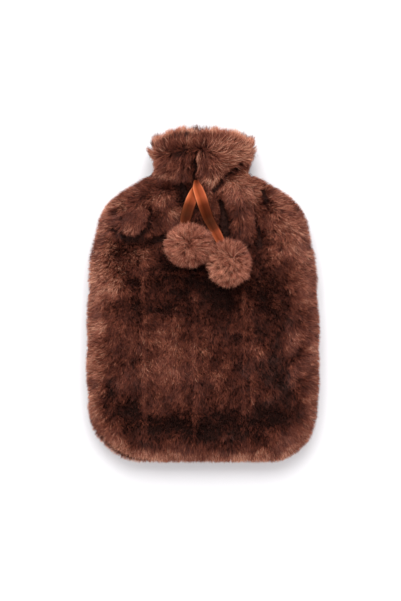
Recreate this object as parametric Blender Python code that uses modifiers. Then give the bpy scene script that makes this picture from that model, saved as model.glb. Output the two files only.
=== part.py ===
"""A long-pile cover for a hot water bottle, lying on its back.

It is a flat bag of fur fabric cut as a front and a back panel, joined by a seam that runs
down both sides and round the bottom. Above the shoulders the throat is drawn in by a satin
ribbon, and a collar stands open above it. The ribbon's two ends come out of a pleat at the
front of the collar and end in pompoms. The bag keeps the shape that a bottle gives it.

Metres. +Z is up from the surface it lies on, +Y runs from the bottom edge to the collar.
"""

import math
import random
from collections import namedtuple

import bmesh
import bpy
import numpy as np
from mathutils import Matrix, Vector, noise
from mathutils.bvhtree import BVHTree

MM = 0.001

# Driving sizes, in millimetres
BOTTOM = -174.0  # the bottom edge
FRONT_RIM = 158.0  # the cut edge of the collar, in front
BACK_RIM = 162.0  # and behind, where it stands a little higher
SEAM_HEIGHT = 21.0  # the side seam, above the surface
WALL = 9.0  # cloth and pile together
SEAM_WALL = 0.4  # share of the wall's thickness at the seam
DEEPEST = 6.5  # the most that a fold presses into the wall
CROWN = 2.5  # how far the middle of the front stands above its sides
CORNER_WIDE = {"left": 56.0, "right": 48.0}  # the bottom corners are quarters of ellipses
CORNER_LONG = 61.0
WAVES = ((0.7, 9.0), (0.5, 4.3))  # height and length of the unevenness of the sides
UNDER_ROUNDING = 0.75  # how much shorter the edge's rounding is on the back than on the front
COLLAR_STARTS = 126.0  # above it the collar's edge begins to drop at the sides
RIM_DROP = 9.0  # how much lower the collar's edge is at the side seams
EDGE_FADE = 12.0  # nearer the seam than this, folds fade out and the wall thins
UNDER_FADE = 5.0  # the back is flat where it lies, and its folds grow over this height
LUMP = 0.9  # the pile's own unevenness
LUMP_SIZE = 13.0

# How finely the panels are divided
ROLL_LONG = 34.0  # the roll along the bottom edge, with its sections closer together
ROLL_SECTIONS = 6
BODY_SECTIONS = 20
BODY_ENDS = 84.0  # above it come the shoulders and the neck
FRONT_COLUMNS = 26
FRONT_NECK_SECTIONS = 17
BACK_COLUMNS = 20
BACK_NECK_SECTIONS = 12
BUNCHING = 0.85  # share of the columns' places that bunches them towards both sides
EDGE_STEP = 2.0  # between points of the line round the edge

STRIP_TALL = 3.0  # the collar's edge strips, which carry its longest locks
STRIP_INSET = 1.0
STRIP_COLUMNS = 22
LOCK_SHORT = 5.0
LOCK_LONG = 9.0
LOCK_LEAN = 0.3
LOCK_TIP = 0.2  # a tip's size as a share of its root's

RIBBON_WIDE = 12.0
RIBBON_BUNCHED = 8.0  # its width in the pleat and where it is tied to a pompom
RIBBON_THICK = 1.0
RIBBON_STEP = 4.0
FOLD_WIDE = 1.2  # how far the ribbon slips to the right where it is folded
RIBBON_WIDENS = 3  # sections over which it widens again
LAYERS_MEET = 80.0  # above it the ribbon's right end lies over its left one
LAYERS_FADE = 10.0

POMPOM_CORE = 17.0  # radius of the dense middle
POMPOM_REACH = 24.5  # radius to the ends of the longest locks
POMPOM_SHORT = 21.5  # and of the shortest
POMPOM_TAPERS = (0.8, 0.3)
POMPOM_JITTER = 0.06
POMPOM_BELOW = 19.5  # radius underneath, where the locks are pressed flat
POMPOM_CHEEK = 23.0  # radius where the two pompoms press against each other
TIE_ANGLE = 32.0  # no locks stand this near the ribbon's end, in degrees
CLEAR = 0.35  # between pieces that rest on each other

# The cover's edges and heights, section by section from the bottom to the collar
Section = namedtuple("Section", "y left right top under rounding")
SECTIONS = [
    Section(-174, -119, 119, 44, 0, 38),
    Section(-110, -119, 119, 45, 0, 38),
    Section(-66, -120, 120, 46, 0, 38),
    Section(-17, -119, 119, 46, 0, 38),
    Section(20, -117, 116, 46, 0, 38),
    Section(44, -114, 113, 45, 0, 37),
    Section(62, -110, 109, 45, 0, 36),
    Section(81, -105, 104, 44, 0, 34),
    Section(93, -98, 97, 43, 1, 32),
    Section(103, -86, 86, 42, 3, 29),
    Section(110, -75, 73, 41, 5, 26),
    Section(116, -65, 61, 41, 6, 25),
    Section(121, -54, 48, 41, 6, 25),
    Section(126, -51, 47, 43, 5, 26),
    Section(135, -52, 50, 46, 3, 28),
    Section(145, -54, 52, 48, 2, 30),
    Section(155, -53, 53, 48, 2, 30),
    Section(164, -50, 50, 47, 3, 29),
]

# Folds and hollows, each along a line: plus stands up, minus is pressed in
Fold = namedtuple("Fold", "what x1 y1 x2 y2 width height")
FRONT_FOLDS = [
    Fold("pleat that the ribbon comes out of", -8, 160, -9, 116, 6, -7),
    Fold("bed of the knot", -9, 114, -9, 112, 9, -4),
    Fold("flap to the right of the pleat", 14, 150, 8, 118, 15, 8),
    Fold("crease under the flap", 42, 136, 12, 108, 6, -7),
    Fold("right roll of the collar", 40, 158, 43, 146, 11, 2),
    Fold("left roll of the collar", -40, 156, -42, 138, 10, 3),
    Fold("small crease of the collar", -30, 144, -27, 124, 5, -4),
    Fold("draw of the ribbon on the left", -46, 116, -20, 112, 7, -6),
    Fold("draw of the ribbon on the right", 30, 119, 46, 120, 6, -5),
    Fold("upper puff on the right", 34, 102, 39, 93, 13, 7),
    Fold("lower puff on the right", 37, 82, 38, 68, 10, 5),
    Fold("hollow beside the ribbon", 17, 96, 24, 66, 8, -6),
    Fold("groove down the right shoulder", 60, 108, 55, 62, 7, -5),
    Fold("roll of the left shoulder", -86, 66, -60, 72, 11, 6),
    Fold("hollow under that roll", -86, 48, -48, 54, 10, -4),
    Fold("left rib", -64, 30, -64, -140, 6, 1.5),
    Fold("middle rib", -10, -10, -10, -140, 6, 1.5),
    Fold("right rib", 44, 0, 44, -140, 6, 1.5),
    Fold("dip above the bottom roll", -92, -124, 92, -124, 14, -3),
    Fold("bed of the left pompom", -15, 50, -15, 50, 19, -6),
    Fold("bed of the right pompom", 28, 31, 28, 31, 19, -5),
]
BACK_FOLDS = [
    Fold("draw of the ribbon behind", -40, 116, 40, 116, 7, -3),
    Fold("left crease behind", -22, 140, -30, 100, 6, -3),
    Fold("right crease behind", 16, 142, 24, 98, 6, -3),
]

Colour = namedtuple("Colour", "name red green blue roughness")
FUR = Colour("brown_fur", 0.105, 0.040, 0.025, 0.85)
POMPOM_FUR = Colour("light_brown_fur", 0.21, 0.085, 0.055, 0.85)
SATIN = Colour("rust_satin", 0.33, 0.085, 0.025, 0.35)

# The ribbon lies over these points, from the left pompom to the pleat and back to the right one
LEFT_END = [(-17.5, 82), (-13, 96), (-9.5, 109)]
RIGHT_END = [(-5.5, 110), (-1.5, 97.5), (7, 77)]
FOLD_PLACE = (-8.5, 115.0)  # where it is folded double, in the pleat
FOLD_RADIUS = 1.2

# Centre, and the place that the ribbon comes from
Pompom = namedtuple("Pompom", "name x y tie_from")
LEFT_POMPOM = Pompom("pompom_left", -15.4, 49.5, LEFT_END[0])
RIGHT_POMPOM = Pompom("pompom_right", 28.0, 31.5, RIGHT_END[-1])


def clear_scene():
    for old in list(bpy.data.objects):
        bpy.data.objects.remove(old, do_unlink=True)


def material(colour):
    made = bpy.data.materials.get(colour.name) or bpy.data.materials.new(colour.name)
    made.use_nodes = True
    shader = made.node_tree.nodes["Principled BSDF"]
    shader.inputs["Base Color"].default_value = (colour.red, colour.green, colour.blue, 1)
    shader.inputs["Roughness"].default_value = colour.roughness
    return made


def smooth_between(column, y):
    """One column of the sections at y, on a smooth curve through its rows."""
    ys = [row.y for row in SECTIONS]
    values = [getattr(row, column) for row in SECTIONS]
    slopes = np.gradient(values, ys)
    i = int(np.clip(np.searchsorted(ys, y) - 1, 0, len(ys) - 2))
    step = ys[i + 1] - ys[i]
    t = float(np.clip((y - ys[i]) / step, 0, 1))
    blend = t * t * (3 - 2 * t)
    bulge = step * t * (1 - t) * ((1 - t) * slopes[i] - t * slopes[i + 1])
    return values[i] * (1 - blend) + values[i + 1] * blend + bulge


def corner_inset(y, column):
    """How far the rounded bottom corner takes the side in at y."""
    below = BOTTOM + CORNER_LONG - y
    if below <= 0:
        return 0.0
    return CORNER_WIDE[column] * (1 - math.sqrt(max(0.0, 1 - (below / CORNER_LONG) ** 2)))


def side(y, column):
    inwards = 1 if column == "left" else -1
    wave = sum(height * math.sin(y / long + inwards) for height, long in WAVES)
    return smooth_between(column, y) + inwards * corner_inset(y, column) + wave


def section_places():
    """Places of the sections below the collar, closer together round the bottom edge."""
    turns = [0.5 * math.pi * i / ROLL_SECTIONS for i in range(ROLL_SECTIONS)]
    roll = [BOTTOM + ROLL_LONG * (1 - math.cos(turn)) for turn in turns]
    return roll + list(np.linspace(BOTTOM + ROLL_LONG, BODY_ENDS, BODY_SECTIONS))


def edge_line():
    """Points round the cover's edge: up both sides and along the bottom."""
    turns = np.arange(0, 0.5 * math.pi, EDGE_STEP / CORNER_LONG)
    corner = list(BOTTOM + CORNER_LONG * (1 - np.cos(turns)))
    ys = corner + list(np.arange(BOTTOM + CORNER_LONG, BACK_RIM + RIM_DROP, EDGE_STEP))
    sides = [(side(y, column), y) for column in ("left", "right") for y in ys]
    ends = np.arange(side(BOTTOM, "left"), side(BOTTOM, "right"), EDGE_STEP)
    return np.array(sides + [(x, BOTTOM) for x in ends])


EDGE = edge_line()


def from_edge(x, y):
    """Distance in plan from the cover's edge."""
    return float(np.hypot(EDGE[:, 0] - x, EDGE[:, 1] - y).min())


def rounded(distance, rounding):
    """0 at the edge and 1 beyond the rounding, along a quarter of an ellipse."""
    left = 1 - min(1.0, distance / rounding)
    return math.sqrt(1 - left * left)


def fold_height(folds, x, y):
    height = 0.0
    for fold in folds:
        along = Vector((fold.x2 - fold.x1, fold.y2 - fold.y1))
        off = Vector((x - fold.x1, y - fold.y1))
        share = min(1.0, max(0.0, off.dot(along) / max(along.length_squared, 1.0)))
        height += fold.height * math.exp(-(((off - share * along).length / fold.width) ** 2))
    return height


def lump(x, y, layer):
    return LUMP * noise.noise(Vector((x / LUMP_SIZE, y / LUMP_SIZE, layer)))


def front_base(x, y, distance):
    half = (side(y, "right") - side(y, "left")) / 2
    crown = CROWN * max(0.0, 1 - (x / half) ** 2)
    rise = smooth_between("top", y) + crown - SEAM_HEIGHT
    return SEAM_HEIGHT + rise * rounded(distance, smooth_between("rounding", y))


def back_base(x, y, distance):
    depth = SEAM_HEIGHT - smooth_between("under", y)
    return SEAM_HEIGHT - depth * rounded(distance, UNDER_ROUNDING * smooth_between("rounding", y))


def across(columns):
    """Places across a section, from 0 to 1, closer together at both sides."""
    t = np.linspace(0, 1, columns + 1)
    return BUNCHING * (0.5 - 0.5 * np.cos(math.pi * t)) + (1 - BUNCHING) * t


def surface(name, columns, rows, point_at, colour):
    """An open grid with its corners at point_at(column, row), in millimetres."""
    grid = bmesh.new()
    bmesh.ops.create_grid(grid, x_segments=columns, y_segments=rows, size=1)
    for vertex in grid.verts:
        column = round((vertex.co.x + 1) / 2 * columns)
        row = round((vertex.co.y + 1) / 2 * rows)
        vertex.co = Vector(point_at(column, row)) * MM
    made = as_object(grid, name, colour)
    made.data.shade_smooth()
    return made


def as_object(form, name, colour):
    mesh = bpy.data.meshes.new(name)
    form.to_mesh(mesh)
    form.free()
    mesh.materials.append(material(colour))
    made = bpy.data.objects.new(name, mesh)
    bpy.data.collections["hot_water_bottle_cover"].objects.link(made)
    return made


def thicken(skin, thickness, offset=-1.0):
    """The open surface made a closed wall. Its first points stay those of the surface."""
    wall = skin.modifiers.new("wall", "SOLIDIFY")
    wall.thickness = thickness * MM
    wall.offset = offset
    wall.use_even_offset = False
    graph = bpy.context.evaluated_depsgraph_get()
    solid = bpy.data.meshes.new_from_object(skin.evaluated_get(graph))
    skin.modifiers.clear()
    skin.data = solid


def panel(name, rim, columns, neck_sections, base_at, folds, facing):
    """One panel, and the pairs of outer and inner points along its cut edge at the collar.

    It is a skin over its half of the bag, thickened inwards, then pressed into folds. Facing
    is 1 for the front and -1 for the back.
    """
    rows = section_places() + list(np.linspace(BODY_ENDS, rim, neck_sections))[1:]
    shares = across(columns)[::facing]

    def corner(column, row):
        y, share = rows[row], shares[column]
        x = side(y, "left") + (side(y, "right") - side(y, "left")) * share
        at_seam = column in (0, columns) or row == 0
        distance = 0.0 if at_seam else from_edge(x, y)
        high = max(0.0, (y - COLLAR_STARTS) / (rim - COLLAR_STARTS))
        drop = RIM_DROP * high**2 * abs(2 * share - 1) ** 3
        return x, y - drop, base_at(x, y, distance)

    skin = surface(name, columns, len(rows) - 1, corner, FUR)
    outer = [vertex.co / MM for vertex in skin.data.vertices]
    thicken(skin, WALL)
    seam = (SEAM_HEIGHT + facing * CLEAR / 2) * MM
    count = len(outer)
    for number, vertex in enumerate(skin.data.vertices):
        x, y, z = outer[number % count]
        inwards = min(1.0, from_edge(x, y) / EDGE_FADE)
        if number >= count:
            share = SEAM_WALL + (1 - SEAM_WALL) * inwards
            vertex.co = (outer[number % count] * MM).lerp(vertex.co, share)
        if abs(z - SEAM_HEIGHT) < 1e-3:
            vertex.co.z = seam
        elif number < count:
            lift = fold_height(folds, x, y) + lump(x, y, facing)
            if facing < 0:
                lift *= min(1.0, z / UNDER_FADE)
            vertex.co.z = max(0.0, vertex.co.z + facing * inwards * max(-DEEPEST, lift) * MM)
    points = [vertex.co / MM for vertex in skin.data.vertices]
    rim_points = [(points[i], points[i + count]) for i in range(count - columns - 1, count)]
    return skin, rim_points


def along_line(line, share):
    """The point at a share of a line's length."""
    steps = np.linalg.norm(np.diff(line, axis=0), axis=1)
    run = np.concatenate([[0], np.cumsum(steps)])
    return np.array([np.interp(share * run[-1], run, axis) for axis in line.T])


def grow_locks(form, faces, tip_of, tapers):
    """Each face drawn out into a lock of its own, in as many steps as there are tapers."""
    for face in faces:
        root, tip = face.calc_center_median(), tip_of(face)
        for step, taper in enumerate(tapers, 1):
            face = bmesh.ops.extrude_discrete_faces(form, faces=[face])["faces"][0]
            now, place = face.calc_center_median(), root.lerp(tip, step / len(tapers))
            for vertex in face.verts:
                vertex.co = place + (vertex.co - now) * taper


def edge_strip(name, rim_points, seed):
    """A narrow strip on the collar's cut edge, with two rows of locks standing on it."""
    dice = random.Random(seed)
    outer, inner = (np.array(line) for line in zip(*rim_points))

    def corner(column, row):
        a, b = along_line(inner, column / STRIP_COLUMNS), along_line(outer, column / STRIP_COLUMNS)
        inset = STRIP_INSET / np.linalg.norm(b - a)
        place = a + (b - a) * (inset + (1 - 2 * inset) * row / 2)
        return place[0], max(a[1], b[1]) + CLEAR, place[2]

    strip = surface(name, STRIP_COLUMNS, 2, corner, FUR)
    thicken(strip, STRIP_TALL)
    form = bmesh.new()
    form.from_mesh(strip.data)
    form.normal_update()
    tops = [face for face in form.faces if face.normal.y > 0.7]

    def tip_of(face):
        lean = math.sqrt(face.calc_area()) * dice.uniform(-LOCK_LEAN, LOCK_LEAN)
        tall = dice.uniform(LOCK_SHORT, LOCK_LONG) * MM
        return face.calc_center_median() + Vector((lean, tall, 0))

    grow_locks(form, tops, tip_of, [LOCK_TIP])
    form.to_mesh(strip.data)
    form.free()


def tree_of(piece):
    return BVHTree.FromObject(piece, bpy.context.evaluated_depsgraph_get())


def height_under(tree, x, y):
    """Height of the surface at a place, in millimetres."""
    hit = tree.ray_cast(Vector((x, y, 200)) * MM, Vector((0, 0, -1)))[0]
    return hit.z / MM


def tie_way(plan, ground):
    """The direction in which the ribbon leaves a pompom."""
    middle = height_under(ground, plan.x, plan.y) + POMPOM_BELOW
    x, y = plan.tie_from
    return Vector((x - plan.x, y - plan.y, height_under(ground, x, y) - middle)).normalized()


def pompom(plan, other, ground, seed):
    """A core with locks all round it, pressed flat underneath and where the two meet."""
    dice = random.Random(seed)
    tie = tie_way(plan, ground)
    beside = Vector((other.x - plan.x, other.y - plan.y, 0)).normalized()
    form = bmesh.new()
    bmesh.ops.create_icosphere(form, subdivisions=2, radius=POMPOM_CORE * MM)
    form.transform(Matrix.Rotation(dice.uniform(0.2, 1.0), 4, "Y"))
    form.normal_update()
    free = [face for face in form.faces if face.normal.angle(tie) > math.radians(TIE_ANGLE)]

    def tip_of(face):
        jitter = Vector([dice.uniform(-POMPOM_JITTER, POMPOM_JITTER) for _ in range(3)])
        way = (face.normal + jitter).normalized()
        reach = dice.uniform(POMPOM_SHORT, POMPOM_REACH)
        if way.z < 0:
            reach = min(reach, POMPOM_BELOW / -way.z)
        if way.dot(beside) > 0:
            reach = min(reach, POMPOM_CHEEK / way.dot(beside))
        return way * reach * MM

    grow_locks(form, free, tip_of, POMPOM_TAPERS)
    points = [vertex.co / MM for vertex in form.verts]
    lifts = [height_under(ground, plan.x + p.x, plan.y + p.y) - p.z for p in points]
    centre = Vector((plan.x, plan.y, max(lifts) + CLEAR))
    form.transform(Matrix.Translation(centre * MM))
    as_object(form, plan.name, POMPOM_FUR)
    return centre


def curve_through(points, step):
    """Points on a smooth curve through the given ones, about a step apart."""
    ends = [2 * points[0] - points[1], *points, 2 * points[-1] - points[-2]]
    found = [points[0]]
    for before, start, end, after in zip(ends, ends[1:], ends[2:], ends[3:]):
        count = max(1, round((end - start).length / step))
        for i in range(1, count + 1):
            t = i / count
            square = 2 * before - 5 * start + 4 * end - after
            cube = 3 * start - before - 3 * end + after
            found.append(start + 0.5 * ((end - before) * t + square * t**2 + cube * t**3))
    return found


def laid_on(ground, x, y, reach):
    """Height that clears the pile under a ribbon this wide."""
    sideways, along = np.linspace(-reach, reach, 5), np.linspace(-RIBBON_STEP, RIBBON_STEP, 5)
    places = [(x + a, y + b) for a in sideways for b in along]
    return max(height_under(ground, *place) for place in places) + CLEAR + RIBBON_THICK / 2


def tie_ribbon(ground, left_centre, right_centre):
    """One satin strip from pompom to pompom, folded double in the pleat."""

    def end_at(centre, plan):
        return centre + tie_way(plan, ground) * (POMPOM_CORE + CLEAR)

    def over(place, lift):
        return Vector((*place, laid_on(ground, *place, RIBBON_BUNCHED / 2) + lift))

    low = [end_at(left_centre, LEFT_POMPOM)] + [over(place, 0) for place in LEFT_END]
    layer = 2 * FOLD_RADIUS
    high = [over(place, lift) for place, lift in zip(RIGHT_END, (layer, layer, 0))]
    high.append(end_at(right_centre, RIGHT_POMPOM))
    fold = over(FOLD_PLACE, FOLD_RADIUS + CLEAR)
    turn = []
    for share in (-0.5, -0.25, 0, 0.25, 0.5):
        a = math.pi * share
        slip = FOLD_WIDE * share
        turn.append(fold + Vector((slip, FOLD_RADIUS * math.cos(a), FOLD_RADIUS * math.sin(a))))
    up = curve_through(low + turn[:1], RIBBON_STEP)
    down = curve_through(turn[-1:] + high, RIBBON_STEP)
    path = up + turn[1:-1] + down
    folded, last = len(up) + 1, len(path) - 1

    def width_at(row):
        from_end = min(row, last - row, abs(row - folded)) / RIBBON_WIDENS
        return RIBBON_BUNCHED + (RIBBON_WIDE - RIBBON_BUNCHED) * min(1.0, from_end)

    for row, point in enumerate(path):
        high_up = min(1.0, max(0.0, (point.y - LAYERS_MEET) / LAYERS_FADE))
        upper_layer = layer * high_up if row > folded else 0
        if abs(row - folded) > 2:
            lowest = laid_on(ground, point.x, point.y, width_at(row) / 2) + upper_layer
            point.z = max(point.z, lowest)

    def corner(column, row):
        way = path[min(row + 1, last)] - path[max(row - 1, 0)]
        across_it = Vector((way.y, -way.x, 0)).normalized()
        if row > folded:
            across_it = -across_it
        if abs(row - folded) <= 2:
            across_it = Vector((1, 0, 0))
        return path[row] + across_it * width_at(row) * (column / 2 - 0.5)

    ribbon = surface("tie_ribbon", 2, last, corner, SATIN)
    thicken(ribbon, RIBBON_THICK, offset=0)


def build():
    clear_scene()
    cover = bpy.data.collections.new("hot_water_bottle_cover")
    bpy.context.scene.collection.children.link(cover)
    front, front_edge = panel(
        "front_panel", FRONT_RIM, FRONT_COLUMNS, FRONT_NECK_SECTIONS, front_base, FRONT_FOLDS, 1
    )
    back_edge = panel(
        "back_panel", BACK_RIM, BACK_COLUMNS, BACK_NECK_SECTIONS, back_base, BACK_FOLDS, -1
    )[1]
    edge_strip("front_collar_edge", front_edge, 1)
    edge_strip("back_collar_edge", back_edge, 2)
    ground = tree_of(front)
    left = pompom(LEFT_POMPOM, RIGHT_POMPOM, ground, 3)
    right = pompom(RIGHT_POMPOM, LEFT_POMPOM, ground, 4)
    tie_ribbon(ground, left, right)


build()
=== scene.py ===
# %% [markdown]
# # A long-pile cover for a hot water bottle
#
# The real thing is a bag sewn from two panels of fur fabric: a knitted backing with long, soft
# brown pile. A satin ribbon draws in the throat and ends in two pompoms. The measured solids
# fix every place and size. This lesson dresses them: cloth first, then pile, pompoms and ribbon.

# %% Load the measured model
import math
from collections import namedtuple

import bpy
import numpy as np
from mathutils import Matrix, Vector
from mathutils.bvhtree import BVHTree
from mathutils.kdtree import KDTree


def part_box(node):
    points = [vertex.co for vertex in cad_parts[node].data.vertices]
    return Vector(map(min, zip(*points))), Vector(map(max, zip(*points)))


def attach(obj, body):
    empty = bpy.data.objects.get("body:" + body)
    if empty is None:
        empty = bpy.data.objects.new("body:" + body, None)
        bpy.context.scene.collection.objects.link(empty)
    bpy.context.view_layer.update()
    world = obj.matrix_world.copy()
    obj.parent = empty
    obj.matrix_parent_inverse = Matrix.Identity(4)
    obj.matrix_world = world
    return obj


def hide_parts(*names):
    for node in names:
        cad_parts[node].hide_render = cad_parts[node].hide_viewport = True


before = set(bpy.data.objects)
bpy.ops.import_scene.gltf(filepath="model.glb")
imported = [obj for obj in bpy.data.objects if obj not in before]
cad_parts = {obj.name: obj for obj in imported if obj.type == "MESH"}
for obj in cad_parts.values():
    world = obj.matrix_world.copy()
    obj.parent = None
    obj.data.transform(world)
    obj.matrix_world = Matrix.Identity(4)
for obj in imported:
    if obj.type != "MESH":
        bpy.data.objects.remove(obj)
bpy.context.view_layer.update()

MM = 0.001
scene = bpy.context.scene

# %% [markdown]
# ## Camera, paper and light
#
# The cover lies on white studio paper and is seen from straight above, so the camera stands high
# over it and looks down. A lens with a narrow angle keeps the sides of the bag from showing.

# %% Place the camera
CAMERA_HIGH = 1700.0  # millimetres above the side seams
SEAM_LEVEL = 21.0
VIEW_TALL = 619.0  # the frame's height at the seam's level
VIEW_MIDDLE = (-2.6, -7.7)
TILT = 1.0  # degrees from straight down, towards the bottom edge

back_off = CAMERA_HIGH * math.tan(math.radians(TILT))
place = Vector((VIEW_MIDDLE[0], VIEW_MIDDLE[1] - back_off, SEAM_LEVEL + CAMERA_HIGH)) * MM
bpy.ops.object.camera_add(location=place, rotation=(math.radians(TILT), 0, 0))
camera = bpy.context.object
camera.name = "studio_camera"
camera.data.sensor_fit = "VERTICAL"
camera.data.sensor_height = 36
camera.data.lens = 36 * CAMERA_HIGH / VIEW_TALL
scene.camera = camera
print("The camera's lens is", round(camera.data.lens, 1), "mm")

# %% [markdown]
# Colours are written as sRGB hex values, as in a paint program, and one function turns them into
# the linear numbers that shaders use. Others add a node with its settings and links, and what the
# finishes share: a ramp, a tint from the UV map, and fine ribs.

# %% Colour and node helpers
def linear(code):
    """An sRGB hex colour such as #8a5545 as linear red, green, blue and alpha."""
    parts = [int(code[i:i + 2], 16) / 255 for i in (1, 3, 5)]
    return [c / 12.92 if c <= 0.04045 else ((c + 0.055) / 1.055) ** 2.4 for c in parts] + [1.0]


def add_node(tree, kind, settings=None, values=None, links=None):
    """A shader node. links maps its inputs to the outputs that feed them."""
    node = tree.nodes.new(kind)
    for key, value in (settings or {}).items():
        setattr(node, key, value)
    for key, value in (values or {}).items():
        node.inputs[key].default_value = value
    for key, source in (links or {}).items():
        tree.links.new(source, node.inputs[key])
    return node


def new_material(name, values):
    """A material whose shader has these constant values. Returns it, its tree and its shader."""
    made = bpy.data.materials.new(name)
    made.use_nodes = True
    shader = made.node_tree.nodes["Principled BSDF"]
    for key, value in values.items():
        shader.inputs[key].default_value = value
    return made, made.node_tree, shader


def add_ramp(tree, source, stops):
    """A colour ramp on an output, from pairs of a position and a hex colour. Returns its colour."""
    ramp = add_node(tree, "ShaderNodeValToRGB", links={"Fac": source})
    elements = ramp.color_ramp.elements
    elements.remove(elements[-1])
    elements[0].position = stops[0][0]
    elements[0].color = linear(stops[0][1])
    for position, code in stops[1:]:
        elements.new(position).color = linear(code)
    return ramp.outputs["Color"]


def tint_by_map(tree, shader, across, along):
    """Colour from the UV map, the ramp across it times the one along it. Returns the map's output."""
    marks = add_node(tree, "ShaderNodeUVMap", {"uv_map": "OFBake"}).outputs["UV"]
    parts = add_node(tree, "ShaderNodeSeparateXYZ", links={"Vector": marks})
    colour = add_node(
        tree, "ShaderNodeMix", {"data_type": "RGBA", "blend_type": "MULTIPLY"}, {"Factor": 1.0},
        {6: add_ramp(tree, parts.outputs["X"], across), 7: add_ramp(tree, parts.outputs["Y"], along)},
    )
    tree.links.new(colour.outputs[2], shader.inputs["Base Color"])
    return marks


def add_ribs(tree, shader, place, direction, waves, relief):
    """Fine ribs on the surface. waves and relief are the values of the two nodes."""
    ribs = add_node(tree, "ShaderNodeTexWave", {"bands_direction": direction}, waves, {"Vector": place})
    bump = add_node(tree, "ShaderNodeBump", None, relief, {"Height": ribs.outputs["Fac"]})
    tree.links.new(bump.outputs["Normal"], shader.inputs["Normal"])


print("Brown #8a5545 in linear light is", [round(c, 3) for c in linear("#8a5545")[:3]])

# %% Lay the paper and hang the lights
bpy.ops.object.select_all(action="DESELECT")
bpy.ops.mesh.primitive_plane_add(size=6, location=(0, 0, -0.0003))
paper = bpy.context.object
paper.name = "studio_paper"
matt = {"Base Color": linear("#f6f5f7"), "Roughness": 0.9, "Specular IOR Level": 0.1}
paper.data.materials.append(new_material("matt_white_paper", matt)[0])

world = bpy.data.worlds.new("white_studio")
world.use_nodes = True
sky = world.node_tree.nodes["Background"]
sky.inputs["Color"].default_value = (1, 0.99, 1, 1)
sky.inputs["Strength"].default_value = 0.82
scene.world = world
scene.view_settings.view_transform = "Standard"  # keeps the paper white, as in print


def hang_light(name, place, size, power):
    """A soft square lamp, turned to the middle of the cover."""
    turn = (-Vector(place)).to_track_quat("-Z", "Y").to_euler()
    bpy.ops.object.light_add(type="AREA", location=place, rotation=turn)
    lamp = bpy.context.object
    lamp.name = name
    lamp.data.size = size
    lamp.data.energy = power


hang_light("window_light", (-0.1, 1.2, 1.6), 1.6, 35)
hang_light("fill_light", (0.2, -0.7, 2.0), 1.8, 4)
print("Two soft lamps and a white room")

# %% [markdown]
# ## The backing cloth
#
# Under the pile lies a thin knitted cloth. It could be modelled flat and draped, but the measured
# panels already hold its folds. So a grid is added, its points are fitted to the panel's outer
# face, smoothed, and then sunk below it by the depth of the pile. A wall gives it thickness.

# %% Where the panels' edges and faces are
PILE_DEPTH = 7.0  # from the panel's outer face down to the cloth
SEAM_DEPTH = 6.0  # at the side seam
CLOTH_THICK = 1.1
COLLAR_STARTS = 126.0  # above it the collar's edge begins to drop at the sides
RIM_DROP = 9.0


def measured(node):
    """A search tree over one solid's faces, and its box's two corners in millimetres."""
    tree = BVHTree.FromObject(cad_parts[node], bpy.context.evaluated_depsgraph_get())
    return tree, *(np.array(corner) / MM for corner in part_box(node))


def cast(tree, start, way):
    """Where a ray first meets the faces, or None. Places are in millimetres."""
    hit = tree.ray_cast(Vector(start) * MM, Vector(way))[0]
    return None if hit is None else [value / MM for value in hit]


def panel_edges(tree, y, facing):
    """The panel's left and right edge at y, just off the seam."""
    return [cast(tree, (-200 * way, y, SEAM_LEVEL + 0.6 * facing), (way, 0, 0))[0] for way in (1, -1)]


def panel_height(tree, x, y, facing):
    """Height of the panel's outer face at x, y."""
    hit = cast(tree, (x, y, 200 * facing), (0, 0, -facing))
    return SEAM_LEVEL if hit is None else hit[2]


def blurred(values, rounds):
    """A grid of values with each inner one drawn towards its neighbours."""
    values = values.copy()
    for _ in range(rounds):
        around = values[:-2, 1:-1] + values[2:, 1:-1] + values[1:-1, :-2] + values[1:-1, 2:]
        values[1:-1, 1:-1] = 0.5 * values[1:-1, 1:-1] + 0.125 * around
    return values


def unit(vectors):
    """The same directions, one long."""
    return vectors / np.maximum(np.linalg.norm(vectors, axis=-1, keepdims=True), 1e-9)


def normals_of(points, facing):
    """Unit normals of a grid of points, rows by columns."""
    return unit(np.cross(np.gradient(points, axis=1), np.gradient(points, axis=0)) * facing)


print("The pile is", PILE_DEPTH, "mm deep over the cloth")


# %% Make a sheet from a grid of points
def laid_sheet(name, points, thick, offset, turn_faces=None):
    """A sheet with a wall, from points in millimetres, rows by columns. Returns it and its area."""
    rows, columns = points.shape[0] - 1, points.shape[1] - 1
    bpy.ops.object.select_all(action="DESELECT")
    bpy.ops.mesh.primitive_grid_add(x_subdivisions=columns, y_subdivisions=rows, size=2)
    made = bpy.context.object
    made.name = name
    for vertex in made.data.vertices:
        column = round((vertex.co.x + 1) / 2 * columns)
        row = round((vertex.co.y + 1) / 2 * rows)
        vertex.co = Vector(points[row, column]) * MM
    if turn_faces:
        bpy.ops.object.mode_set(mode="EDIT")
        bpy.ops.mesh.select_all(action="SELECT")
        turn_faces()
        bpy.ops.object.mode_set(mode="OBJECT")
    area = sum(face.area for face in made.data.polygons)
    wall = made.modifiers.new("wall", "SOLIDIFY")
    wall.thickness = thick * MM
    wall.offset = offset
    bpy.ops.object.modifier_apply(modifier="wall")
    bpy.ops.object.shade_smooth()
    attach(made, "root")
    print(name, "has", len(made.data.polygons), "faces and", round(area, 4), "square metres")
    return made, area


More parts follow.
